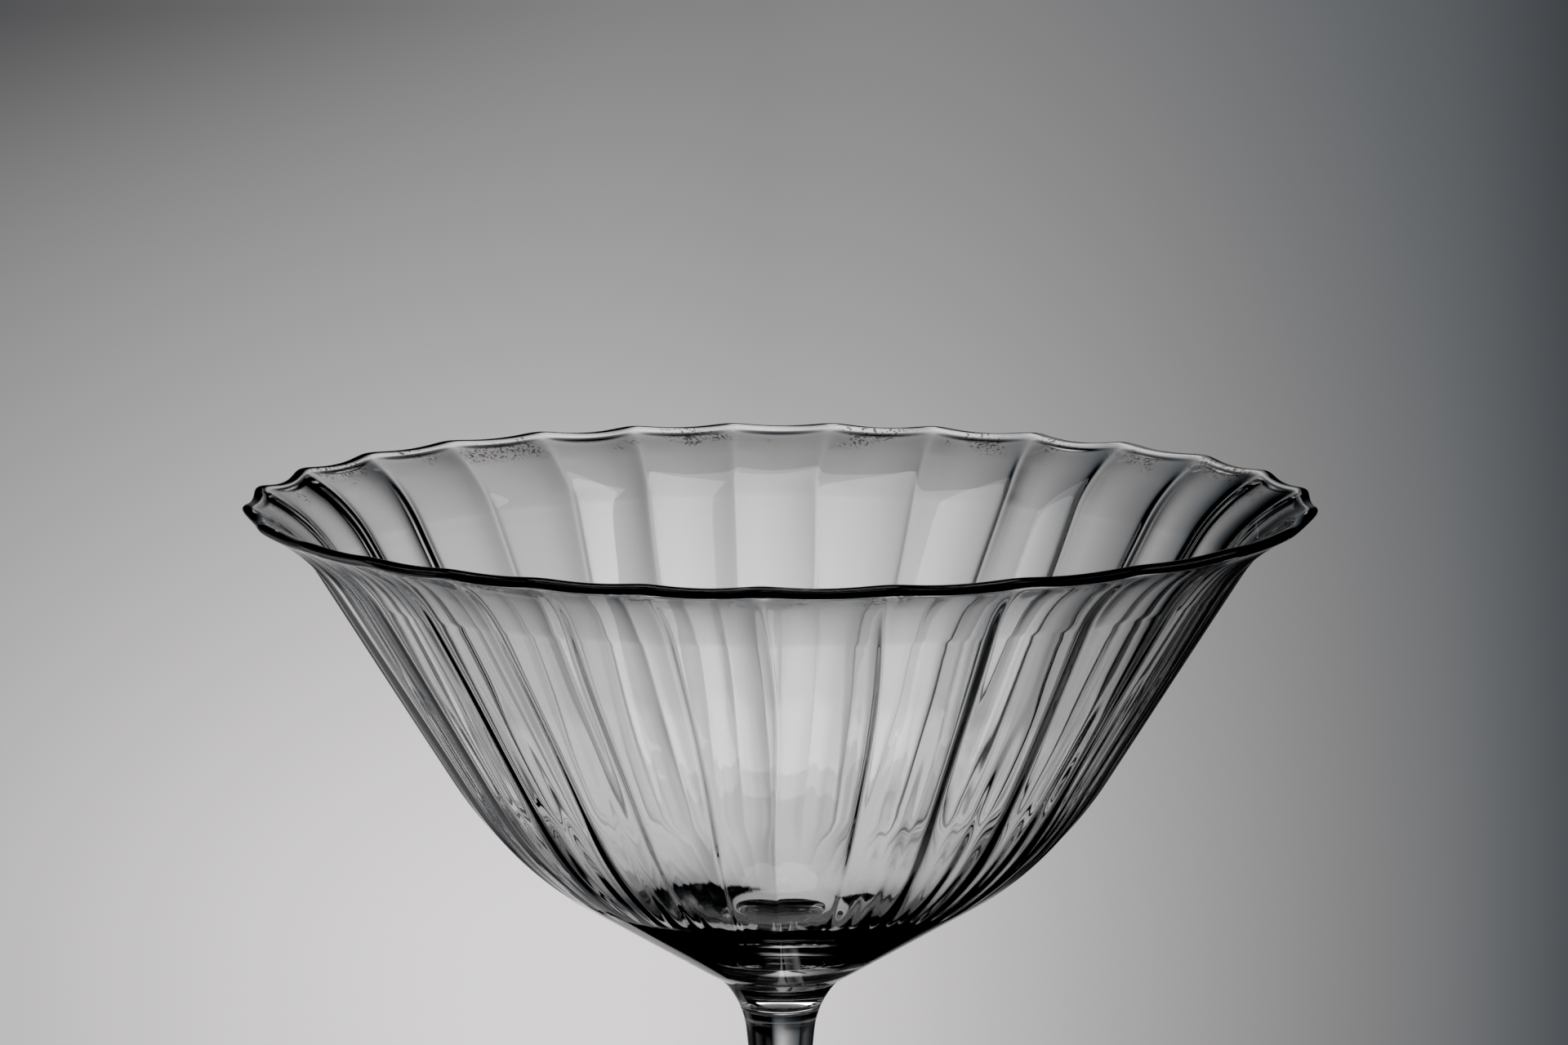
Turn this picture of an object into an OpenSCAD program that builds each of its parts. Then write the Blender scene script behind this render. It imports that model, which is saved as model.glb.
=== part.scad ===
// Stemmed glass bowl: a blown, ribbed bowl with a flared rim, a short collar,
// a drawn stem and a spun foot, four gathers of glass fused one on the other.
// Millimetres, +Z up, origin at the middle of the foot's underside.

/* [Bowl] */
// Diameter across the rim, measured over the ribs
rim_d = 116; // [104:1:130]
// Height from the seam under the bowl to the top of the rim
bowl_h = 53.2; // [48:0.2:60]
// Thickness of the side wall
wall = 1.3; // [1:0.1:2]
// Diameter of the fire-polished bead along the rim
bead_d = 1.5; // [1.2:0.1:2.4]
// Thickness of the glass under the hollow, on the axis
base_t = 4; // [3:0.5:6]
// Lean of the straight side, from the vertical
side_lean = 32; // [28:1:36]
// Lean of the underside, from the vertical
under_lean = 59; // [54:1:64]
// Lean of the lip, from the vertical
lip_lean = 62; // [50:1:68]
// Radius of the belly, between the underside and the side
belly_r = 41; // [34:1:46]
// Radius of the flare, between the side and the lip
flare_r = 13; // [8:1:18]
// Straight length of the lip beyond the flare
lip_l = 3; // [2:0.5:5]

/* [Ribs] */
// Number of ribs around the bowl
ribs = 28; // [16:1:32]
// Turn of the first rib, from the +X axis
rib_turn = 4; // [0:1:22]
// Depth of the panels between the ribs, at the rim
rim_relief = 0.8; // [0.3:0.1:1.2]
// Depth of the panels outside, where the side meets the belly
side_relief = 0.6; // [0.2:0.1:1]
// Depth of the panels inside, where the side meets the bottom
inside_relief = 0.3; // [0.1:0.1:0.8]
// How far the rim dips between two ribs
rim_dip = 0.2; // [0:0.1:0.6]
// Roundness of the ribs, from a sharp edge to a soft wave
rib_round = 0.2; // [0.05:0.05:0.6]

/* [Collar] */
// Diameter of the collar at the seam under the bowl
collar_d = 13; // [11:0.5:16]
// Height of the collar between the seam and the stem's weld
collar_h = 3; // [1.5:0.5:4.5]
// Radius of the hollow flare that runs from the stem into the collar
neck_r = 9.5; // [8:0.5:14]

/* [Stem] */
// Diameter of the stem at its waist
stem_d = 6.2; // [5:0.2:8]
// Height of the stem between its two welds
stem_h = 64.8; // [60:0.2:90]
// Lean of the stem where the neck flare starts, from the vertical
neck_lean = 6; // [3:1:8]
// Radius of the slow hollow above the waist
upper_r = 115; // [60:5:140]
// Lean of the stem where the foot's fillet starts, from the vertical
root_lean = 4; // [2:0.5:5]
// Radius of the slow hollow below the waist
lower_r = 450; // [200:10:500]

/* [Foot] */
// Diameter of the foot
foot_d = 70; // [60:1:84]
// Thickness of the foot at its rounded edge
edge_t = 2; // [1.6:0.1:3]
// Rise of the foot's top, from the horizontal
foot_slope = 5; // [2:1:9]
// Radius of the fillet from the foot's top into the stem
fillet_r = 10; // [7:1:14]
// Height of the stem's weld above the start of that fillet
boss_h = 3.2; // [2:0.2:5]
// Width of the flat ring that the foot stands on
rest_w = 4; // [2:0.5:8]
// Height of the shallow hollow under the foot, on the axis
kick_h = 1.2; // [0.4:0.2:1.8]

/* [Hidden] */
$fn = 96;

// Steps along a turned arc, along the bowl's arcs, hollow and lines, and from rib to rib
arc_steps = 12;
bowl_steps = 4;
hollow_steps = 7;
line_steps = 2;
rib_steps = 6;
glass = [0.86, 0.90, 0.91, 0.45];

// A direction along an outline is its lean from the vertical, up and outwards
function along(lean) = [sin(lean), cos(lean)];
function outward(lean) = [cos(lean), -sin(lean)];
// Points of a lean from one value to another
function leans(from, to, steps) = [for (i = [0 : steps]) from + (to - from) * i / steps];
// The way along an arc going up: a belly steepens outwards, a flare spreads outwards,
// and a root draws in from the foot
function belly_step(r, from, to) = r * [cos(to) - cos(from), sin(from) - sin(to)];
function flare_step(r, from, to) = r * [cos(from) - cos(to), sin(to) - sin(from)];
function root_step(r, from, to) = r * [cos(from) - cos(to), sin(from) - sin(to)];

// The rim bead, and the outline of the bowl's outer side from the rim down
bead_r = bead_d / 2;
bead_at = [rim_d / 2 - bead_r, bowl_h - bead_r];
lip_out = bead_at + outward(lip_lean) * wall / 2;
flare_top = lip_out - along(lip_lean) * lip_l;
flare_low = flare_top - flare_step(flare_r, side_lean, lip_lean);

// Lengths of the straight side and underside that close the outline
belly_span = belly_step(belly_r, under_lean, side_lean);
seam_at = [collar_d / 2, 0];
reach = flare_low - seam_at - belly_span;
turn = sin(under_lean - side_lean);
under_l = (reach.x * cos(side_lean) - reach.y * sin(side_lean)) / turn;
side_l = (reach.y * sin(under_lean) - reach.x * cos(under_lean)) / turn;
belly_low = seam_at + along(under_lean) * under_l;
belly_top = belly_low + belly_span;

// The hollow: the lip, flare and side one wall inside, then one round bottom
lip_in = bead_at - outward(lip_lean) * wall / 2;
hollow_flare_top = lip_in - along(lip_lean) * lip_l;
hollow_flare_r = flare_r + wall;
hollow_flare_low = hollow_flare_top - flare_step(hollow_flare_r, side_lean, lip_lean);
hollow_r = (hollow_flare_low.x * cos(side_lean) - (hollow_flare_low.y - base_t) * sin(side_lean))
    / (1 - sin(side_lean));
function hollow_at(lean) = [hollow_r * cos(lean), base_t + hollow_r * (1 - sin(lean))];
hollow_top = hollow_at(side_lean);

// Outline of the bowl from the seam, up the outside, over the bead and down inside
bead_turns = [-45, 0, 45, 90, 135];
bowl_outside = concat(
    [for (i = [0 : line_steps - 1]) seam_at + along(under_lean) * under_l * i / line_steps],
    [for (a = leans(under_lean, side_lean, bowl_steps)) belly_low + belly_step(belly_r, under_lean, a)],
    [for (i = [1 : line_steps - 1]) belly_top + along(side_lean) * side_l * i / line_steps],
    [for (a = leans(side_lean, lip_lean, bowl_steps)) flare_low + flare_step(flare_r, side_lean, a)],
    [for (a = bead_turns) bead_at + bead_r * [cos(a), sin(a)]]
);
bowl_inside = concat(
    [for (a = leans(lip_lean, side_lean, bowl_steps))
        hollow_flare_low + flare_step(hollow_flare_r, side_lean, a)],
    [for (i = [1 : line_steps - 1]) hollow_flare_low + (hollow_top - hollow_flare_low) * i / line_steps],
    [for (i = [0 : hollow_steps - 1]) hollow_at(side_lean + (90 - side_lean) * i / hollow_steps)]
);
bowl_rings = concat(bowl_outside, bowl_inside);

// Depth of the panels at a height: none at the bottom, full at the rim
function relief(z, bottom, knee, knee_depth) = z < knee
    ? knee_depth * max(0, z - bottom) / (knee - bottom)
    : knee_depth + (rim_relief - knee_depth) * (z - knee) / (bowl_h - knee);
function ring_relief(i) = i < len(bowl_outside)
    ? relief(bowl_rings[i].y, 0, belly_top.y, side_relief)
    : relief(bowl_rings[i].y, base_t, hollow_top.y, inside_relief);
function ring_dip(i) = rim_dip * max(0, bowl_rings[i].y - flare_low.y) / (bowl_h - flare_low.y);

// One panel across: 0 on the rib, 1 in the middle
function panel(u) = (sqrt(pow(sin(180 * u), 2) + pow(rib_round, 2)) - rib_round)
    / (sqrt(1 + pow(rib_round, 2)) - rib_round);
ring_points = ribs * rib_steps;
function bowl_point(i, k) = let (
    sink = panel(k / rib_steps),
    r = bowl_rings[i].x - ring_relief(i) * sink,
    a = rib_turn + 360 * k / ring_points
) [r * cos(a), r * sin(a), bowl_rings[i].y - ring_dip(i) * sink];

// The neck: one hollow flare that the stem's weld divides into stem and collar
neck_foot_r = stem_d / 2 + upper_r * (1 - cos(neck_lean));
seam_lean = acos(cos(neck_lean) - (collar_d / 2 - neck_foot_r) / neck_r);
weld_lean = asin(sin(seam_lean) - collar_h / neck_r);
weld_r = neck_foot_r + neck_r * (cos(neck_lean) - cos(weld_lean));

// The foot: a sloped top that a fillet carries up into the stem
root_r = stem_d / 2 + lower_r * (1 - cos(root_lean));
top_lean = 90 - foot_slope;
fillet_foot_r = root_r + fillet_r * (cos(root_lean) - cos(top_lean));
edge_at = [foot_d / 2 - edge_t / 2, edge_t / 2];
edge_top = edge_at + [sin(foot_slope), cos(foot_slope)] * edge_t / 2;
fillet_z = edge_top.y + (edge_top.x - fillet_foot_r) * tan(foot_slope);
boss_lean = asin(sin(top_lean) - boss_h / fillet_r);
boss_r = root_r + fillet_r * (cos(root_lean) - cos(boss_lean));
rest_r = edge_at.x - rest_w;
kick_r = (pow(rest_r, 2) + pow(kick_h, 2)) / (2 * kick_h);
kick_half = asin(rest_r / kick_r);

// Heights of the two welds, of the seam and of the stem's arcs
foot_h = fillet_z + boss_h;
weld_z = foot_h + stem_h;
seam_z = weld_z + collar_h;
root_z = fillet_z + fillet_r * (sin(top_lean) - sin(root_lean));
neck_z = weld_z - neck_r * (sin(weld_lean) - sin(neck_lean));
waist_top_z = neck_z - upper_r * sin(neck_lean);

module bowl() {
    last = len(bowl_rings) - 1;
    apex = ring_points * len(bowl_rings);
    points = concat(
        [for (i = [0 : last]) for (k = [0 : ring_points - 1]) bowl_point(i, k)],
        [[0, 0, base_t]]
    );
    sides = [for (i = [0 : last - 1]) for (k = [0 : ring_points - 1])
        let (
            next = (k + 1) % ring_points,
            a = i * ring_points + k,
            b = i * ring_points + next,
            c = a + ring_points,
            d = b + ring_points
        ) each [[a, c, b], [b, c, d]]];
    seam = [[for (k = [0 : ring_points - 1]) k]];
    bottom = [for (k = [0 : ring_points - 1])
        [last * ring_points + k, apex, last * ring_points + (k + 1) % ring_points]];
    color(glass)
        translate([0, 0, seam_z])
            polyhedron(points, concat(seam, sides, bottom), convexity = 6);
}

module collar() {
    flare = [for (a = leans(weld_lean, seam_lean, arc_steps))
        [weld_r, weld_z] + flare_step(neck_r, weld_lean, a)];
    color(glass)
        rotate_extrude()
            polygon(concat([[0, weld_z]], flare, [[0, seam_z]]));
}

module stem() {
    fillet = [for (a = leans(boss_lean, root_lean, arc_steps))
        [boss_r, foot_h] + root_step(fillet_r, boss_lean, a)];
    below_waist = [for (i = [1 : arc_steps])
        [root_r, root_z] + root_step(lower_r, root_lean, root_lean * (1 - i / arc_steps))];
    above_waist = [for (i = [0 : arc_steps - 1])
        [stem_d / 2, waist_top_z] + flare_step(upper_r, 0, neck_lean * i / arc_steps)];
    neck = [for (a = leans(neck_lean, weld_lean, arc_steps))
        [neck_foot_r, neck_z] + flare_step(neck_r, neck_lean, a)];
    color(glass)
        rotate_extrude()
            polygon(concat([[0, foot_h]], fillet, below_waist, above_waist, neck, [[0, weld_z]]));
}

module foot() {
    kick = [for (i = [0 : arc_steps])
        let (a = kick_half * i / arc_steps) [kick_r * sin(a), kick_h - kick_r * (1 - cos(a))]];
    edge = [for (i = [0 : arc_steps])
        let (a = -90 + (180 - foot_slope) * i / arc_steps) edge_at + edge_t / 2 * [cos(a), sin(a)]];
    fillet = [for (a = leans(top_lean, boss_lean, arc_steps))
        [fillet_foot_r, fillet_z] + root_step(fillet_r, top_lean, a)];
    color(glass)
        rotate_extrude()
            polygon(concat(kick, edge, fillet, [[0, foot_h]]));
}

bowl();
collar();
stem();
foot();
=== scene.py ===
# %% [markdown]
# # A ribbed glass bowl on a stem
#
# This lesson dresses one piece of hand-blown glass: a ribbed bowl with a flared, scalloped rim, a short
# collar, a drawn stem and a spun foot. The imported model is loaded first, as a fixed frame in metres. Every
# piece below is built in that frame, so nothing has to be moved into place afterwards.

# %% Load the frame and keep its box
import math

import bmesh
import bpy
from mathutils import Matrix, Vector, noise


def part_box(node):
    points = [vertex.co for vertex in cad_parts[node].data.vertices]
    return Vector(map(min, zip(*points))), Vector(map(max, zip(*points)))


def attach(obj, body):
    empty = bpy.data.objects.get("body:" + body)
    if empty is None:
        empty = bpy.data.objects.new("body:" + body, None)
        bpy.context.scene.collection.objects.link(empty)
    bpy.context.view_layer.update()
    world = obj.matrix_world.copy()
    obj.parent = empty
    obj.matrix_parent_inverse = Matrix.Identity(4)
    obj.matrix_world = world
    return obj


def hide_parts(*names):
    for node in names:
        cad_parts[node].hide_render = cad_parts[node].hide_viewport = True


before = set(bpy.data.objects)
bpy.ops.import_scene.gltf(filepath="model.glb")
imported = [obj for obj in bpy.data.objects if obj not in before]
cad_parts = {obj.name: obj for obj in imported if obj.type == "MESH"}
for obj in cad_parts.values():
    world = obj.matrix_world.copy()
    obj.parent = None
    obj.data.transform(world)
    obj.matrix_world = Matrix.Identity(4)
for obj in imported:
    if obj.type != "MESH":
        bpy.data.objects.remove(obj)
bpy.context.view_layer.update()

MM = 0.001

# %% [markdown]
# ## The camera
#
# The photograph was taken from a little above the rim with a long lens, so the rim is a flat ellipse and the
# sides hardly converge. The camera is placed from the rim's middle: a distance, a height angle, and two small
# turns that put that middle at its pixel in the photograph.

# %% Camera at the photograph's angle
IMAGE_W = 1920
IMAGE_H = 1280
LENS_MM = 130.7
SENSOR_MM = 36.0
RIM_PIXEL = (955.5, 609.0)
CAMERA_RANGE = 614.8 * MM
CAMERA_RISE = math.radians(8.80)
CLIP_START = 10 * MM

bowl_low, bowl_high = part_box("bowl")
rim_z = bowl_high.z
focal_pixels = IMAGE_W * LENS_MM / SENSOR_MM
turn_right = math.atan((IMAGE_W / 2 - RIM_PIXEL[0]) / focal_pixels)
tilt_down = CAMERA_RISE + math.atan((IMAGE_H / 2 - RIM_PIXEL[1]) / focal_pixels)

camera = bpy.data.objects.new("camera", bpy.data.cameras.new("camera"))
camera.data.lens = LENS_MM
camera.data.sensor_width = SENSOR_MM
camera.data.clip_start = CLIP_START
camera.location = (
    0, -CAMERA_RANGE * math.cos(CAMERA_RISE), rim_z + CAMERA_RANGE * math.sin(CAMERA_RISE),
)
camera.rotation_euler = (math.pi / 2 - tilt_down, 0, -turn_right)
bpy.context.scene.collection.objects.link(camera)
bpy.context.scene.camera = camera
bpy.context.scene.view_settings.view_transform = "Standard"
print("camera at", [round(x, 4) for x in camera.location], "tilt", round(math.degrees(tilt_down), 3))

# %% [markdown]
# ## A pen for turned glass
#
# A blown bowl and a drawn stem are turned shapes, so each one starts as half an outline in the XZ plane. The
# outline is drawn like a pen stroke: straight steps are extruded from the last point, and arcs are that
# point spun about the arc's centre. A direction is its lean from the vertical, up and outwards.

# %% Pen strokes
def along(lean):
    """One step in the direction of a lean."""
    return Vector((math.sin(lean), 0, math.cos(lean)))


def outward(lean):
    """One step square to a lean, away from the axis."""
    return Vector((math.cos(lean), 0, -math.sin(lean)))


def draw_line(bm, point, step, pieces):
    """Extrudes the pen's point in equal pieces along one straight step."""
    for _ in range(pieces):
        point = bmesh.ops.extrude_vert_indiv(bm, verts=[point])["verts"][0]
        bmesh.ops.translate(bm, verts=[point], vec=step / pieces)
    return point


def draw_arc(bm, point, lean, turn, radius, pieces):
    """Spins the pen's point along an arc from a lean, which turns outwards, or inwards if negative."""
    centre = point.co + outward(lean) * math.copysign(radius, turn)
    made = bmesh.ops.spin(bm, geom=[point], cent=centre, axis=(0, 1, 0), angle=turn, steps=pieces)
    return next(g for g in made["geom_last"] if isinstance(g, bmesh.types.BMVert))


def close_on_axis(bm, point, pieces):
    """Draws a flat disc's outline from the pen's point to the axis."""
    return draw_line(bm, point, Vector((-point.co.x, 0, 0)), pieces)


print("a level step outwards is", [round(x, 3) for x in along(math.pi / 2)])

# %% [markdown]
# ## From outline to piece
#
# One full spin about Z makes the solid. Its last column is merged with its first, and the points that fall
# together on the axis are merged too, so the piece is closed. The spin can leave faces turned inwards, and
# glass needs to know its inside, so the normals are worked out again. Each finished piece then rides on the
# one body of the frame and stands for the node of its name.

# %% Full spin and finished piece
MERGE = 0.0001 * MM


def spin_outline(bm, columns):
    """Turns the outline once about Z, closes its poles and points its faces outwards."""
    bmesh.ops.spin(
        bm, geom=bm.verts[:] + bm.edges[:], cent=(0, 0, 0), axis=(0, 0, 1),
        angle=2 * math.pi, steps=columns, use_merge=True,
    )
    bmesh.ops.remove_doubles(bm, verts=bm.verts, dist=MERGE)
    bmesh.ops.recalc_face_normals(bm, faces=bm.faces)


def finish_piece(bm, name):
    """Makes a smooth piece that rides on the glass's one body and stands for the node of its name."""
    for face in bm.faces:
        face.smooth = True
    mesh = bpy.data.meshes.new(name)
    bm.to_mesh(mesh)
    bm.free()
    piece = bpy.data.objects.new("glass_" + name, mesh)
    bpy.context.scene.collection.objects.link(piece)
    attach(piece, "root")
    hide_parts(name)
    size = [round(x / MM, 2) for x in piece.dimensions]
    print(piece.name, "size", size, "mm,", len(mesh.polygons), "faces")
    return piece


print("points nearer than", MERGE / MM, "mm are merged")

# %% [markdown]
# ## The bowl's outline
#
# The bowl was blown into a ribbed mould and opened out while hot. Outside, it runs from the seam up a
# straight underside, round the belly, up a straight side and out through the flare to the lip. The rim
# was fire-polished, which drew the edge into a fine, rounded nose. Inside, the wall follows one thickness
# away down to one round bottom. Hot glass gathers there, so the bottom is several times as thick as the
# wall, and light that passes through it is bent away: it shows dark. The lengths of the underside and the
# side, and the radius of the bottom, follow from the other sizes.

# %% Outline of the bowl
RIM_R = 57.85 * MM
WALL = 1.2 * MM
NOSE = 2.2
BASE_T = 5.4 * MM
SEAM_R = 6.5 * MM
BELLY_R = 41.0 * MM
FLARE_R = 17.0 * MM
LIP_L = 0.8 * MM
SIDE = math.radians(32)
UNDER = math.radians(59)
LIP = math.radians(62)

seam_z = bowl_low.z
half_wall = WALL / 2
nose_at = Vector((
    RIM_R - half_wall * math.hypot(NOSE * math.sin(LIP), math.cos(LIP)), 0,
    rim_z - half_wall * math.hypot(NOSE * math.cos(LIP), math.sin(LIP)),
))
flare_top = nose_at + outward(LIP) * half_wall - along(LIP) * LIP_L
flare_low = flare_top - (outward(SIDE) - outward(LIP)) * FLARE_R
belly_step = (outward(SIDE) - outward(UNDER)) * BELLY_R
reach = flare_low - Vector((SEAM_R, 0, seam_z)) - belly_step
under_l = reach.dot(outward(SIDE)) / math.sin(UNDER - SIDE)
side_l = -reach.dot(outward(UNDER)) / math.sin(UNDER - SIDE)
belly_top_z = seam_z + (along(UNDER) * under_l + belly_step).z

inner_flare_low = flare_low - outward(SIDE) * WALL
base_z = seam_z + BASE_T
hollow_r = (inner_flare_low - Vector((0, 0, base_z))).dot(outward(SIDE)) / (1 - math.sin(SIDE))
hollow_top = Vector((0, 0, base_z + hollow_r)) + outward(SIDE) * hollow_r

bowl = bmesh.new()
pen = draw_line(bowl, bowl.verts.new((0, 0, seam_z)), Vector((SEAM_R, 0, 0)), 2)
pen = draw_line(bowl, pen, along(UNDER) * under_l, 6)
pen = draw_arc(bowl, pen, UNDER, SIDE - UNDER, BELLY_R, 18)
pen = draw_line(bowl, pen, along(SIDE) * side_l, 12)
pen = draw_arc(bowl, pen, SIDE, LIP - SIDE, FLARE_R, 16)
pen = draw_line(bowl, pen, along(LIP) * LIP_L, 2)
outside_points = len(bowl.verts)
pen = draw_arc(bowl, pen, LIP, -math.pi, half_wall, 20)
pen = draw_line(bowl, pen, along(LIP) * -LIP_L, 2)
pen = draw_arc(bowl, pen, LIP - math.pi, SIDE - LIP, FLARE_R + WALL, 16)
pen = draw_line(bowl, pen, hollow_top - inner_flare_low, 16)
pen = draw_arc(bowl, pen, SIDE - math.pi, math.pi / 2 - SIDE, hollow_r, 34)
print("outline", len(bowl.verts), "points, underside", round(under_l / MM, 1), "mm, side",
      round(side_l / MM, 1), "mm, end of pen", [round(x / MM, 3) for x in pen.co])

# %% [markdown]
# ## Ribs and scallops
#
# The mould left 28 ribs with shallow panels between them. The panels start from nothing at the bottom and are
# deepest at the rim, where they turn the edge into scallops. A texture could only tint them, but glass shows
# its shape by bending light, so they are real geometry. Their depth is stored on the outline, and the spin
# carries it round. The same pass draws out the rim's nose.

# %% Depths stored on the outline
OUTSIDE_RELIEF = (0.6 * MM, 1.05 * MM)
INSIDE_RELIEF = (0.53 * MM, 0.6 * MM)
LOW_FADE = 2.0
RIM_DIP = 0.35 * MM


def relief(z, bottom, knee, depths):
    """Depth of the panels at a height: none at the bottom, one at the knee and another at the rim."""
    knee_depth, rim_depth = depths
    if z < knee:
        return knee_depth * (max(0, z - bottom) / (knee - bottom)) ** LOW_FADE
    return knee_depth + (rim_depth - knee_depth) * (z - knee) / (rim_z - knee)


sink_layer = bowl.verts.layers.float.new("sink")
dip_layer = bowl.verts.layers.float.new("dip")
for index, vert in enumerate(bowl.verts):
    if index < outside_points:
        vert[sink_layer] = relief(vert.co.z, seam_z, belly_top_z, OUTSIDE_RELIEF)
    else:
        vert[sink_layer] = relief(vert.co.z, base_z, hollow_top.z, INSIDE_RELIEF)
    vert[dip_layer] = RIM_DIP * max(0, vert.co.z - flare_low.z) / (rim_z - flare_low.z)
    beyond = (vert.co - nose_at).dot(along(LIP))
    if beyond > 0:
        vert.co += along(LIP) * (NOSE - 1) * beyond
print("panels are up to", round(max(v[sink_layer] for v in bowl.verts) / MM, 2), "mm deep")

# %% [markdown]
# ## One panel across
#
# From rib to rib a panel is a shallow hollow. The ribs between the panels are fine edges on the body, and the
# fire rounded them near the rim, so how round a rib is depends on the depth below the rim. A formula for the
# share of the full depth at each place across is smoother than a bevel on 28 sharp edges.

# %% Shape of one panel
RIB_HOLLOW = 2.1
RIB_ROUNDS = ((0, 0.3), (3 * MM, 0.07), (14 * MM, 0.06), (24 * MM, 0.08), (60 * MM, 0.08))


def rib_round(below):
    """How round the ribs are at a depth below the rim."""
    for (start, first), (end, last) in zip(RIB_ROUNDS, RIB_ROUNDS[1:]):
        if below < end:
            return first + (last - first) * (below - start) / (end - start)
    return RIB_ROUNDS[-1][1]


def panel(share, blunt):
    """One panel across, from rib to rib: 0 on the ribs, 1 in the middle."""
    from_middle = math.hypot(1, blunt) - math.hypot(1 - abs(1 - 2 * share), blunt)
    return 1 - (max(0, from_middle) / (math.hypot(1, blunt) - blunt)) ** RIB_HOLLOW


print("share of the depth at a quarter of the way across:", round(panel(0.25, rib_round(0)), 2))

# %% [markdown]
# ## The hand of the maker
#
# A blown bowl is never quite even. Its ribs wander from their equal shares, twist a little and sway on their
# way down, and no two panels are equally deep. After the spin, one pass over the points turns each of them to
# its rib and sinks it by its depth. The columns crowd towards the ribs, where the surface bends most.

# %% Spin the bowl and sink the panels
RIBS = 28
RIB_COLUMNS = 22
CROWD = 0.7
FIRST_RIB = math.radians(4.04)
WANDER = ((1, 2.92, 0.17), (2, 2.09, 1.81), (3, -0.95, 0.03))
TWIST = math.radians(2.5)
SWAY = math.radians(1.8)
SWAY_ROUND = 3.0
SWAY_TALL = 25.0 * MM
SWAY_START = 0.12
UNEVEN = 0.9
UNEVEN_STEP = 1.7
UNEVEN_AT = (0.5, 0.3)


def wander(angle):
    """How far a rib strays from its equal share of the round: three slow waves."""
    return math.radians(sum(s * math.sin(n * angle) + c * math.cos(n * angle) for n, s, c in WANDER))


spin_outline(bowl, RIBS * RIB_COLUMNS)
for vert in bowl.verts:
    radius = math.hypot(vert.co.x, vert.co.y)
    turn = math.atan2(vert.co.y, vert.co.x) % (2 * math.pi) * RIBS / (2 * math.pi)
    share = turn % 1
    share -= CROWD * math.sin(2 * math.pi * share) / (2 * math.pi)
    even = FIRST_RIB + (math.floor(turn) + share) * 2 * math.pi / RIBS
    below = rim_z - vert.co.z
    down = below / (rim_z - seam_z)
    sway = noise.noise((SWAY_ROUND * math.cos(even), SWAY_ROUND * math.sin(even), vert.co.z / SWAY_TALL))
    angle = even + wander(even) + TWIST * down + SWAY * sway * min(1, down / SWAY_START)
    uneven = UNEVEN * noise.noise((math.floor(turn) * UNEVEN_STEP, *UNEVEN_AT))
    sunk = panel(share, rib_round(below)) * (1 + uneven)
    radius -= vert[sink_layer] * sunk
    vert.co = (radius * math.cos(angle), radius * math.sin(angle), vert.co.z - vert[dip_layer] * sunk)
glass_bowl = finish_piece(bowl, "bowl")

# %% [markdown]
# ## The collar
#
# Under the bowl the maker fused a small gather, the collar, whose side runs on into the stem in one curve. It
# is a turned shape from the same pen. Its welds are flat discs, which meet the bowl and the stem face to face
# at the heights of the frame's nodes. The leans at its two ends follow from the seam's radius and from those
# heights.

# %% Collar
STEM_R = 3.1 * MM
NECK_R = 9.5 * MM
NECK_LEAN = math.radians(6)
UPPER_R = 115.0 * MM
TURN_COLUMNS = 192

weld_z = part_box("stem")[1].z
foot_top_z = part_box("stem")[0].z
neck_foot_r = STEM_R + UPPER_R * (1 - math.cos(NECK_LEAN))
seam_lean = math.acos(math.cos(NECK_LEAN) - (SEAM_R - neck_foot_r) / NECK_R)
weld_lean = math.asin(math.sin(seam_lean) - (seam_z - weld_z) / NECK_R)
weld_r = neck_foot_r + NECK_R * (math.cos(NECK_LEAN) - math.cos(weld_lean))

collar = bmesh.new()
pen = draw_line(collar, collar.verts.new((0, 0, weld_z)), Vector((weld_r, 0, 0)), 3)
pen = draw_arc(collar, pen, weld_lean, seam_lean - weld_lean, NECK_R, 12)
pen = close_on_axis(collar, pen, 3)
spin_outline(collar, TURN_COLUMNS)
glass_collar = finish_piece(collar, "collar")

# %% [markdown]
# ## The stem
#
# The stem is a rod that was drawn out of the next gather while it was soft, so it is thinnest at its waist
# and widens at both ends. Two long arcs with a straight piece between them make that, and a short arc at each
# end leads into the collar and the foot.

# %% Stem
ROOT_LEAN = math.radians(4)
LOWER_R = 450.0 * MM
FILLET_R = 10.0 * MM
BOSS_H = 3.2 * MM
FOOT_SLOPE = math.radians(5)

root_r = STEM_R + LOWER_R * (1 - math.cos(ROOT_LEAN))
top_lean = math.pi / 2 - FOOT_SLOPE
boss_lean = math.asin(math.sin(top_lean) - BOSS_H / FILLET_R)
boss_r = root_r + FILLET_R * (math.cos(ROOT_LEAN) - math.cos(boss_lean))
root_z = foot_top_z + FILLET_R * (math.sin(boss_lean) - math.sin(ROOT_LEAN))
neck_z = weld_z - NECK_R * (math.sin(weld_lean) - math.sin(NECK_LEAN))
waist_l = neck_z - UPPER_R * math.sin(NECK_LEAN) - root_z - LOWER_R * math.sin(ROOT_LEAN)

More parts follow.
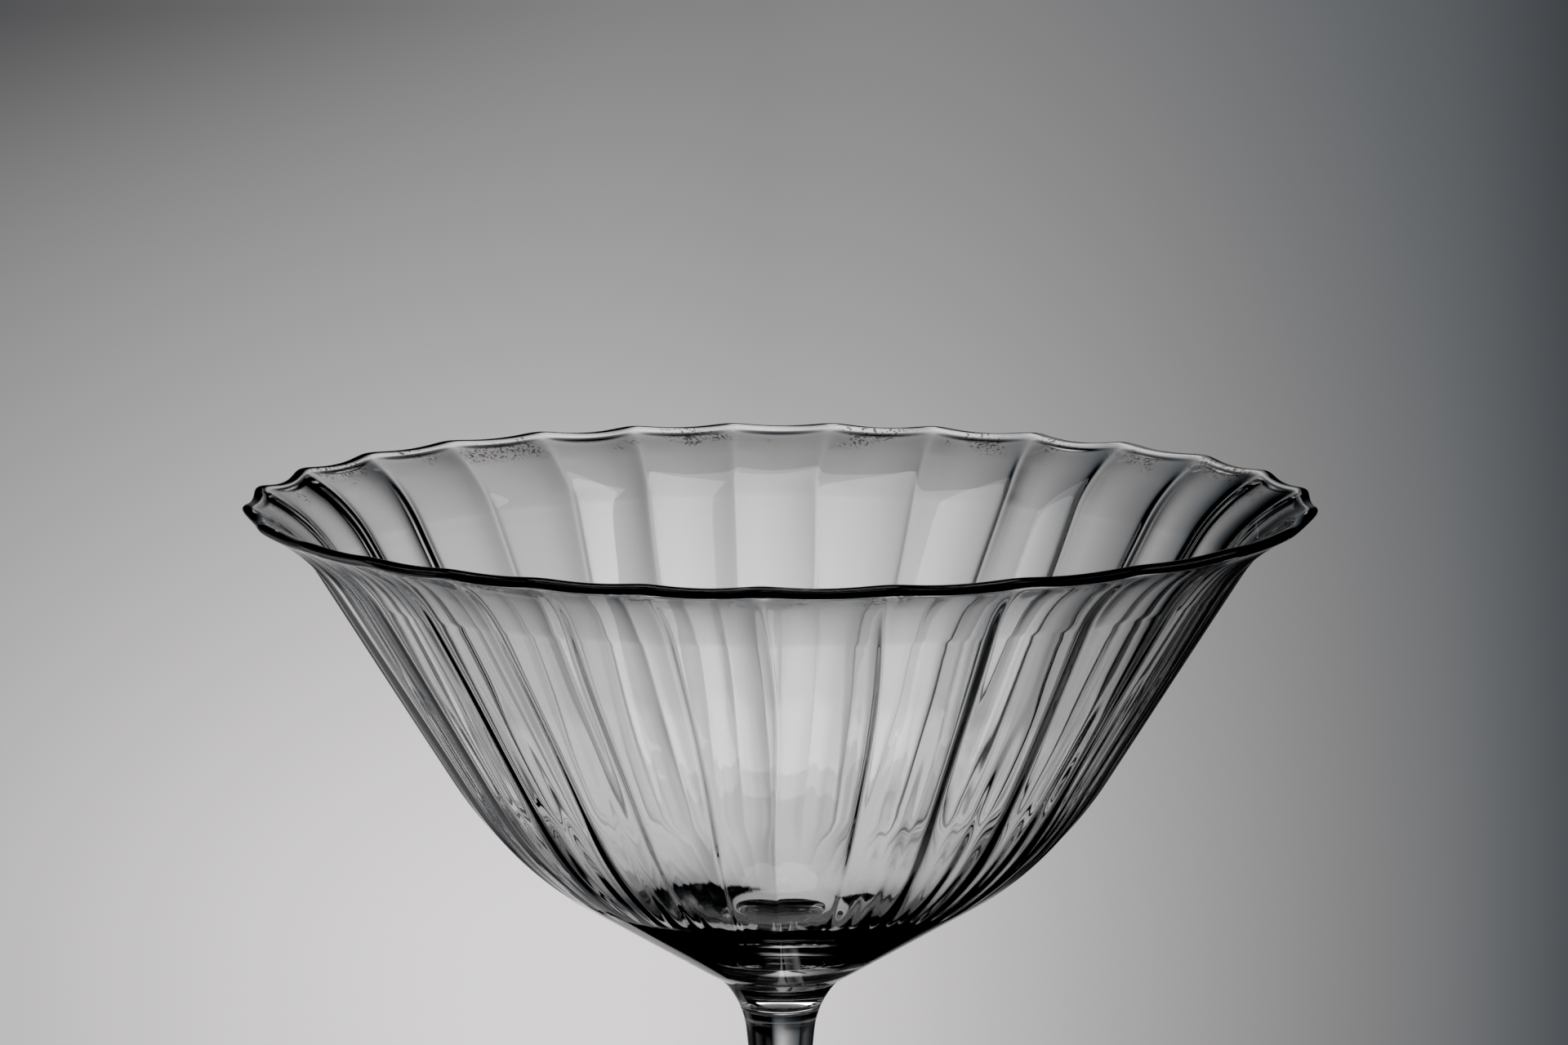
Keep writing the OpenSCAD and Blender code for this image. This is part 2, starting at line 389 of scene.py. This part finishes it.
stem = bmesh.new()
pen = draw_line(stem, stem.verts.new((0, 0, foot_top_z)), Vector((boss_r, 0, 0)), 3)
pen = draw_arc(stem, pen, -boss_lean, boss_lean - ROOT_LEAN, FILLET_R, 14)
pen = draw_arc(stem, pen, -ROOT_LEAN, ROOT_LEAN, LOWER_R, 24)
pen = draw_line(stem, pen, Vector((0, 0, waist_l)), 12)
pen = draw_arc(stem, pen, 0, NECK_LEAN, UPPER_R, 16)
pen = draw_arc(stem, pen, NECK_LEAN, weld_lean - NECK_LEAN, NECK_R, 12)
pen = close_on_axis(stem, pen, 3)
spin_outline(stem, TURN_COLUMNS)
glass_stem = finish_piece(stem, "stem")

# %% [markdown]
# ## The foot
#
# The foot was spun out to a disc. Its top slopes down to a rounded edge, and its underside was pushed up a
# little, so the glass stands on a flat ring and not on its middle. The outline starts in the middle of that
# hollow, runs round the edge and up the slope, and ends with the weld to the stem.

# %% Foot
FOOT_R = 35.0 * MM
EDGE_R = 1.0 * MM
REST_W = 4.0 * MM
KICK_H = 1.2 * MM

rest_r = FOOT_R - EDGE_R - REST_W
kick_r = (rest_r ** 2 + KICK_H ** 2) / (2 * KICK_H)
kick_half = math.asin(rest_r / kick_r)
fillet_foot_r = root_r + FILLET_R * (math.cos(ROOT_LEAN) - math.cos(top_lean))
top_l = (FOOT_R - EDGE_R + EDGE_R * math.sin(FOOT_SLOPE) - fillet_foot_r) / math.cos(FOOT_SLOPE)

foot = bmesh.new()
pen = draw_arc(foot, foot.verts.new((0, 0, KICK_H)), math.pi / 2, kick_half, kick_r, 24)
pen = draw_line(foot, pen, Vector((REST_W, 0, 0)), 4)
pen = draw_arc(foot, pen, math.pi / 2, FOOT_SLOPE - math.pi, EDGE_R, 16)
pen = draw_line(foot, pen, along(FOOT_SLOPE - math.pi / 2) * top_l, 12)
pen = draw_arc(foot, pen, -top_lean, top_lean - boss_lean, FILLET_R, 10)
pen = close_on_axis(foot, pen, 3)
spin_outline(foot, TURN_COLUMNS)
glass_foot = finish_piece(foot, "foot")

# %% [markdown]
# ## Clear glass
#
# The glass is almost colourless, and fire-polished, so it is smooth and only bends light. One shader with
# full transmission and glass's index of refraction does that. Trees of nodes are long to write, so a few
# small helpers come first: a new tree, a node with its values, a piece of arithmetic and a smooth step.

# %% Helpers for nodes
def new_material(name):
    """A material with an empty tree, and its tree."""
    material = bpy.data.materials.new(name)
    material.use_nodes = True
    material.node_tree.nodes.clear()
    return material, material.node_tree


def add_node(tree, kind, values=None, **settings):
    """A node with some settings, and values set on its inputs or linked to them."""
    node = tree.nodes.new("ShaderNode" + kind)
    for key, value in settings.items():
        setattr(node, key, value)
    for key, value in (values or {}).items():
        if isinstance(value, bpy.types.NodeSocket):
            tree.links.new(value, node.inputs[key])
        else:
            node.inputs[key].default_value = value
    return node


def calc(tree, operation, *values):
    """A Math node's result."""
    return add_node(tree, "Math", dict(enumerate(values)), operation=operation).outputs[0]


def ramp(tree, value, low, high):
    """A smooth step from 0 at one value to 1 at another."""
    ends = {"Value": value, "From Min": low, "From Max": high}
    return add_node(tree, "MapRange", ends, interpolation_type="SMOOTHSTEP").outputs[0]


print("materials before the glass:", len(bpy.data.materials))

# %% [markdown]
# ## Glass of the collar, the stem and the foot
#
# Drawing and spinning leave the surface smooth but never dead flat: slow waves run through it. They are much
# too shallow for the mesh, so a noise on the piece's own coordinates tilts the surface as a bump.

# %% Drawn glass
GLASS_IOR = 1.5
GLASS_TINT = (0.985, 0.99, 0.99, 1)
WAVES_SCALE = 120.0
WAVES_STRENGTH = 0.05
WAVES_DEPTH = 0.1 * MM


def glass_surface(tree, colour, normal):
    """Polished glass with a colour and a normal, as the material's surface."""
    glass = add_node(tree, "BsdfPrincipled", {
        "Base Color": colour, "Roughness": 0.0, "IOR": GLASS_IOR, "Transmission Weight": 1.0,
        "Normal": normal,
    })
    add_node(tree, "OutputMaterial", {"Surface": glass.outputs["BSDF"]})


def drawn_glass(name):
    """Glass with slow waves in its surface."""
    material, tree = new_material(name)
    place = add_node(tree, "TexCoord").outputs["Object"]
    waves = add_node(tree, "TexNoise", {"Vector": place, "Scale": WAVES_SCALE, "Detail": 1.0})
    bump = add_node(tree, "Bump", {
        "Height": waves.outputs["Fac"], "Strength": WAVES_STRENGTH, "Distance": WAVES_DEPTH,
    })
    glass_surface(tree, GLASS_TINT, bump.outputs["Normal"])
    return material


plain = drawn_glass("clear_glass")
print(plain.name, "has", len(plain.node_tree.nodes), "nodes")

# %% [markdown]
# ## Glass of the bowl
#
# Blowing drew faint streaks down the body. They are far finer than the ribs, so they are a bump made from a
# noise that is stretched from rim to bottom, and they fade out near both. Under the rim there is a brownish
# residue in small specks, where a fine noise and a patchy one are both high: there the shader's colour is
# dark.

# %% Blown glass
STREAKS_ROUND = 18.0
STREAKS_TALL = 60.0 * MM
STREAK_DEPTH = 0.12 * MM
STREAKS_TOP = (rim_z - 13 * MM, rim_z - 23 * MM)
STREAKS_LOW = (seam_z + 8 * MM, seam_z + 17 * MM)
RESIDUE_BROWN = (0.10, 0.07, 0.045, 1)
RESIDUE_LOW = (rim_z - 2.6 * MM, rim_z - 1.8 * MM)
RESIDUE_TOP = (rim_z - 0.7 * MM, rim_z - 1.1 * MM)
GRAIN_SCALE = 2600.0
GRAIN_CUT = (0.52, 0.62)
PATCH_SCALE = 150.0
PATCH_CUT = (0.50, 0.60)


def blown_glass(name):
    """Glass with streaks down its body and a residue of specks under the rim."""
    material, tree = new_material(name)
    place = add_node(tree, "TexCoord").outputs["Object"]
    z = add_node(tree, "SeparateXYZ", {"Vector": place}).outputs["Z"]
    flat = add_node(tree, "VectorMath", {0: place, 1: (1, 1, 0)}, operation="MULTIPLY").outputs[0]
    ring = add_node(tree, "VectorMath", {0: flat}, operation="NORMALIZE").outputs[0]
    ring = add_node(tree, "VectorMath", {0: ring, "Scale": STREAKS_ROUND}, operation="SCALE").outputs[0]
    tall = add_node(tree, "CombineXYZ", {"Z": calc(tree, "DIVIDE", z, STREAKS_TALL)}).outputs[0]
    stretched = add_node(tree, "VectorMath", {0: ring, 1: tall}, operation="ADD").outputs[0]
    streaks = add_node(tree, "TexNoise", {"Vector": stretched, "Scale": 1.0, "Detail": 0.0})
    on_body = calc(tree, "MULTIPLY", ramp(tree, z, *STREAKS_TOP), ramp(tree, z, *STREAKS_LOW))
    bump = add_node(tree, "Bump", {
        "Height": streaks.outputs["Fac"], "Strength": on_body, "Distance": STREAK_DEPTH,
    })

    grains = add_node(tree, "TexNoise", {"Vector": place, "Scale": GRAIN_SCALE, "Detail": 1.0})
    patches = add_node(tree, "TexNoise", {"Vector": place, "Scale": PATCH_SCALE, "Detail": 2.0})
    near_rim = calc(tree, "MULTIPLY", ramp(tree, z, *RESIDUE_LOW), ramp(tree, z, *RESIDUE_TOP))
    specks = calc(tree, "MULTIPLY", ramp(tree, grains.outputs["Fac"], *GRAIN_CUT),
                  ramp(tree, patches.outputs["Fac"], *PATCH_CUT))
    residue = calc(tree, "MULTIPLY", specks, near_rim)
    mixed = add_node(tree, "Mix", {0: residue, 6: GLASS_TINT, 7: RESIDUE_BROWN}, data_type="RGBA")
    glass_surface(tree, mixed.outputs[2], bump.outputs["Normal"])
    return material


ribbed = blown_glass("ribbed_glass")
print(ribbed.name, "has", len(ribbed.node_tree.nodes), "nodes")

# %% [markdown]
# ## Fused welds
#
# Where two gathers have run together there is no surface left, so light passes straight on. Each piece is
# still a closed solid with its own weld faces. Those get a second material that is fully clear. They are
# found by their height: all their corners lie on the level of a weld.

# %% Welds, and materials on the pieces
WELD_NEAR = 0.001 * MM
WELD_LEVELS = (seam_z, weld_z, foot_top_z)


def fused_weld(name):
    """The face where two gathers have run together: nothing shows there."""
    material, tree = new_material(name)
    shader = add_node(tree, "BsdfPrincipled", {"Alpha": 0.0})
    add_node(tree, "OutputMaterial", {"Surface": shader.outputs["BSDF"]})
    return material


def on_a_weld(heights):
    """Whether all corners of a face lie on the level of one weld."""
    return any(max(abs(z - level) for z in heights) < WELD_NEAR for level in WELD_LEVELS)


weld = fused_weld("fused_weld")
for piece in (glass_bowl, glass_collar, glass_stem, glass_foot):
    piece.data.materials.append(ribbed if piece == glass_bowl else plain)
    piece.data.materials.append(weld)
    fused = 0
    for face in piece.data.polygons:
        if on_a_weld([piece.data.vertices[i].co.z for i in face.vertices]):
            face.material_index = 1
            fused += 1
    print(piece.name, "fused faces", fused)

# %% [markdown]
# ## A studio round the glass
#
# Clear glass has no colour of its own: it is drawn by bright and dark around it. The bowl was lit from
# behind by a soft pale backdrop with dark beside and below it. The world holds that backdrop as a soft glow
# by direction, in degrees. The glow is repeated round the horizon, so that the glass has a backdrop from
# every side, but not next to the main one on the right, where the dark draws the bowl's right side. The two
# on the left stand at heights of their own.

# %% Glows round the horizon
GLOW_LEVEL = 0.645
OTHER_GLOWS = 0.8
GLOW_SPACING = 45.0
GLOW_AZIMUTH = -2.2
GLOW_HEIGHT = -13.5
FIRST_LEFT_HEIGHT = -28.0
SECOND_LEFT_HEIGHT = -7.0
SAME = 0.1

world = bpy.data.worlds.new("studio")
world.use_nodes = True
bpy.context.scene.world = world
sky = world.node_tree
sky.nodes.clear()


def pick(which, first, second):
    """The first value where a switch is 1 and the second where it is 0."""
    return calc(sky, "ADD", calc(sky, "MULTIPLY", which, first),
                calc(sky, "MULTIPLY", calc(sky, "SUBTRACT", 1.0, which), second))


direction = add_node(sky, "SeparateXYZ", {"Vector": add_node(sky, "TexCoord").outputs["Generated"]})
azimuth = calc(sky, "DEGREES", calc(sky, "ARCTAN2", direction.outputs["X"], direction.outputs["Y"]))
height = calc(sky, "DEGREES", calc(sky, "ARCSINE", direction.outputs["Z"]))
from_main = calc(sky, "SUBTRACT", azimuth, GLOW_AZIMUTH)
off_side = calc(sky, "WRAP", from_main, GLOW_SPACING / 2, -GLOW_SPACING / 2)
which = calc(sky, "ROUND", calc(sky, "DIVIDE", from_main, GLOW_SPACING))
is_main = calc(sky, "COMPARE", which, 0.0, SAME)
is_gap = calc(sky, "COMPARE", which, 1.0, SAME)
is_first_left = calc(sky, "COMPARE", which, -1.0, SAME)
is_second_left = calc(sky, "COMPARE", which, -2.0, SAME)
middle = pick(is_first_left, FIRST_LEFT_HEIGHT, pick(is_second_left, SECOND_LEFT_HEIGHT, GLOW_HEIGHT))
level = pick(is_main, GLOW_LEVEL, pick(is_gap, 0.0, GLOW_LEVEL * OTHER_GLOWS))
print("one main glow and", round(360 / GLOW_SPACING) - 2, "others, every", GLOW_SPACING, "degrees")

# %% [markdown]
# ## How each glow fades
#
# Sideways, upwards and downwards the glow has its own fade, and the three are multiplied. It fades slowly to
# its left and upwards and faster to its right, and it ends a little above the horizon. Downwards it ends at
# an edge, which drops in the middle, behind the glass, and again far to the left. The dark under that edge is
# what the thick bottom of the bowl shows.

# %% Fades of the glows
GLOW_LEFT = 11.0
GLOW_RIGHT = 5.8
FIRST_LEFT_WIDE = 11.0
RIGHT_END = (13.0, 8.7)
GLOW_RISE = 7.9
RIGHT_RISE = 11.5
RISE_TURN = (2.0, 8.0)
TOP_END = (12.0, 2.0)
MIDDLE_EDGE = -45.0
MIDDLE_WIDE = (3.0, 9.0)
LOWER_EDGE = -25.0
FIRST_LEFT_EDGE = -44.0
LEFT_DROP = (-9.0, -11.0)
EDGE_SOFT = 1.5


def slow_fade(angle, width):
    """Falls from 1 at zero to a half at the width, with a long tail."""
    share = calc(sky, "DIVIDE", angle, width)
    return calc(sky, "DIVIDE", 1.0, calc(sky, "MULTIPLY_ADD", share, share, 1.0))


def bell(angle, width):
    """A soft bell over an angle, 1 at zero."""
    share = calc(sky, "DIVIDE", angle, width)
    return calc(sky, "EXPONENT", calc(sky, "MULTIPLY", calc(sky, "MULTIPLY", share, share), -0.5))


def slide(angle, low, high, first, last):
    """Goes from a first value to a last one while an angle goes from low to high."""
    ends = {"Value": angle, "From Min": low, "From Max": high, "To Min": first, "To Max": last}
    return add_node(sky, "MapRange", ends).outputs[0]


right_side = calc(sky, "MULTIPLY", bell(off_side, GLOW_RIGHT),
                  ramp(sky, calc(sky, "MULTIPLY", off_side, is_main), *RIGHT_END))
across = pick(calc(sky, "GREATER_THAN", off_side, 0.0), right_side, slow_fade(off_side, GLOW_LEFT))
across = pick(is_first_left, bell(off_side, FIRST_LEFT_WIDE), across)
above = calc(sky, "MAXIMUM", calc(sky, "SUBTRACT", height, middle), 0.0)
upwards = slow_fade(above, slide(off_side, *RISE_TURN, GLOW_RISE, RIGHT_RISE))
upwards = calc(sky, "MULTIPLY", upwards, ramp(sky, height, *TOP_END))
main_edge = slide(calc(sky, "ABSOLUTE", off_side), *MIDDLE_WIDE, MIDDLE_EDGE, LOWER_EDGE)
main_edge = pick(ramp(sky, off_side, *LEFT_DROP), FIRST_LEFT_EDGE, main_edge)
edge_at = pick(is_main, main_edge, pick(is_first_left, FIRST_LEFT_EDGE, LOWER_EDGE))
edge = ramp(sky, calc(sky, "SUBTRACT", height, edge_at), -EDGE_SOFT, EDGE_SOFT)
glow = calc(sky, "MULTIPLY", calc(sky, "MULTIPLY", across, upwards), edge)
print("fades made, sky has", len(sky.nodes), "nodes")

# %% [markdown]
# ## The backdrop as it is seen
#
# The photograph is darker in its upper left corner. Where the glow is dim it turns a little cooler, as studio
# paper does away from its lamp. The camera and the glass see this backdrop. Rays that light the floor see a
# plain even level instead, so the floor stays evenly pale.

# %% Backdrop
CORNER_START = 1.0
CORNER_END = -8.0
CORNER_RISE = 9.6
CORNER_CURVE = 5.0
CORNER_DARK = 1.27
COOL = (0.78, 0.90, 1.0, 1)
WARM = (1.0, 0.982, 0.992, 1)
DIM_TO_BRIGHT = (0.02, 0.45)
AMBIENT_LEVEL = 0.6

leftness = slide(azimuth, CORNER_START, CORNER_END, 0.0, 1.0)
highness = calc(sky, "POWER", slide(above, 0.0, CORNER_RISE, 0.0, 1.0), CORNER_CURVE)
corner = calc(sky, "MULTIPLY", leftness, highness)
corner = calc(sky, "MULTIPLY_ADD", calc(sky, "MULTIPLY", corner, corner), CORNER_DARK, 1.0)
strength = calc(sky, "DIVIDE", calc(sky, "MULTIPLY", glow, level), corner)
warmth = ramp(sky, glow, *DIM_TO_BRIGHT)
shade = add_node(sky, "Mix", {0: warmth, 6: COOL, 7: WARM}, data_type="RGBA").outputs[2]
backdrop = add_node(sky, "Background", {"Color": shade, "Strength": strength})
ambient = add_node(sky, "Background", {"Color": (1, 1, 1, 1), "Strength": AMBIENT_LEVEL})
path = add_node(sky, "LightPath").outputs
seen = calc(sky, "MAXIMUM", path["Is Camera Ray"], path["Is Glossy Ray"])
seen = calc(sky, "MAXIMUM", seen, path["Is Transmission Ray"])
both = add_node(sky, "MixShader", {0: seen, 1: ambient.outputs[0], 2: backdrop.outputs[0]})
add_node(sky, "OutputWorld", {"Surface": both.outputs[0]})
print("backdrop's tree has", len(sky.nodes), "nodes")

# %% [markdown]
# ## Soft light
#
# One wide soft light hangs level above the glass and the camera, a little to the left. The inside of the back
# of the bowl mirrors it as a pale sheen that ends at the light's back edge. Its energy follows from its size,
# so that a larger light is not a dimmer one. The denoiser is told to go by colour alone, because clear glass
# shows what is behind it and not its own surface.

# %% Soft light above
SOFT_X = -0.2
SOFT_WIDE = 1.3
SOFT_FRONT = -0.75
SOFT_BACK = -0.10
SOFT_Z = 0.83
SOFT_RADIANCE = 1.6

soft_light = bpy.data.objects.new("soft_light", bpy.data.lights.new("soft_light", "AREA"))
soft_light.data.shape = "RECTANGLE"
soft_light.data.size = SOFT_WIDE
soft_light.data.size_y = SOFT_BACK - SOFT_FRONT
soft_light.data.energy = SOFT_RADIANCE * math.pi * SOFT_WIDE * (SOFT_BACK - SOFT_FRONT)
soft_light.location = (SOFT_X, (SOFT_FRONT + SOFT_BACK) / 2, SOFT_Z)
bpy.context.scene.collection.objects.link(soft_light)
bpy.context.scene.cycles.denoising_input_passes = "RGB"
print("soft light", round(soft_light.data.energy, 2), "W at", [round(x, 3) for x in soft_light.location])

# %% [markdown]
# ## Floor
#
# The floor is a pale disc that fades out round the foot and holds the shadow. A wide plane would hide the
# backdrop. The glass itself shows only the backdrop and the dark below it, not the floor, which gives the
# bottom of the bowl its deep tone.

# %% Pale floor
FLOOR_R = 0.09
FLOOR_SIDES = 96
FLOOR_FADE = (FLOOR_R * 0.98, FLOOR_R * 0.4)
FLOOR_GREY = (0.5, 0.5, 0.5, 1)
FLOOR_ROUGH = 0.9

floor_mesh = bmesh.new()
bmesh.ops.create_circle(floor_mesh, cap_ends=True, segments=FLOOR_SIDES, radius=FLOOR_R)
floor_data = bpy.data.meshes.new("floor")
floor_mesh.to_mesh(floor_data)
floor_mesh.free()
floor = bpy.data.objects.new("floor", floor_data)
bpy.context.scene.collection.objects.link(floor)
floor.visible_transmission = False
floor.visible_glossy = False

floor_material, tree = new_material("pale_floor")
place = add_node(tree, "TexCoord").outputs["Object"]
radius = add_node(tree, "VectorMath", {0: place}, operation="LENGTH").outputs["Value"]
fade = ramp(tree, radius, *FLOOR_FADE)
paint = add_node(tree, "BsdfPrincipled", {"Base Color": FLOOR_GREY, "Roughness": FLOOR_ROUGH, "Alpha": fade})
add_node(tree, "OutputMaterial", {"Surface": paint.outputs[0]})
floor_data.materials.append(floor_material)
print("floor radius", FLOOR_R, "m")
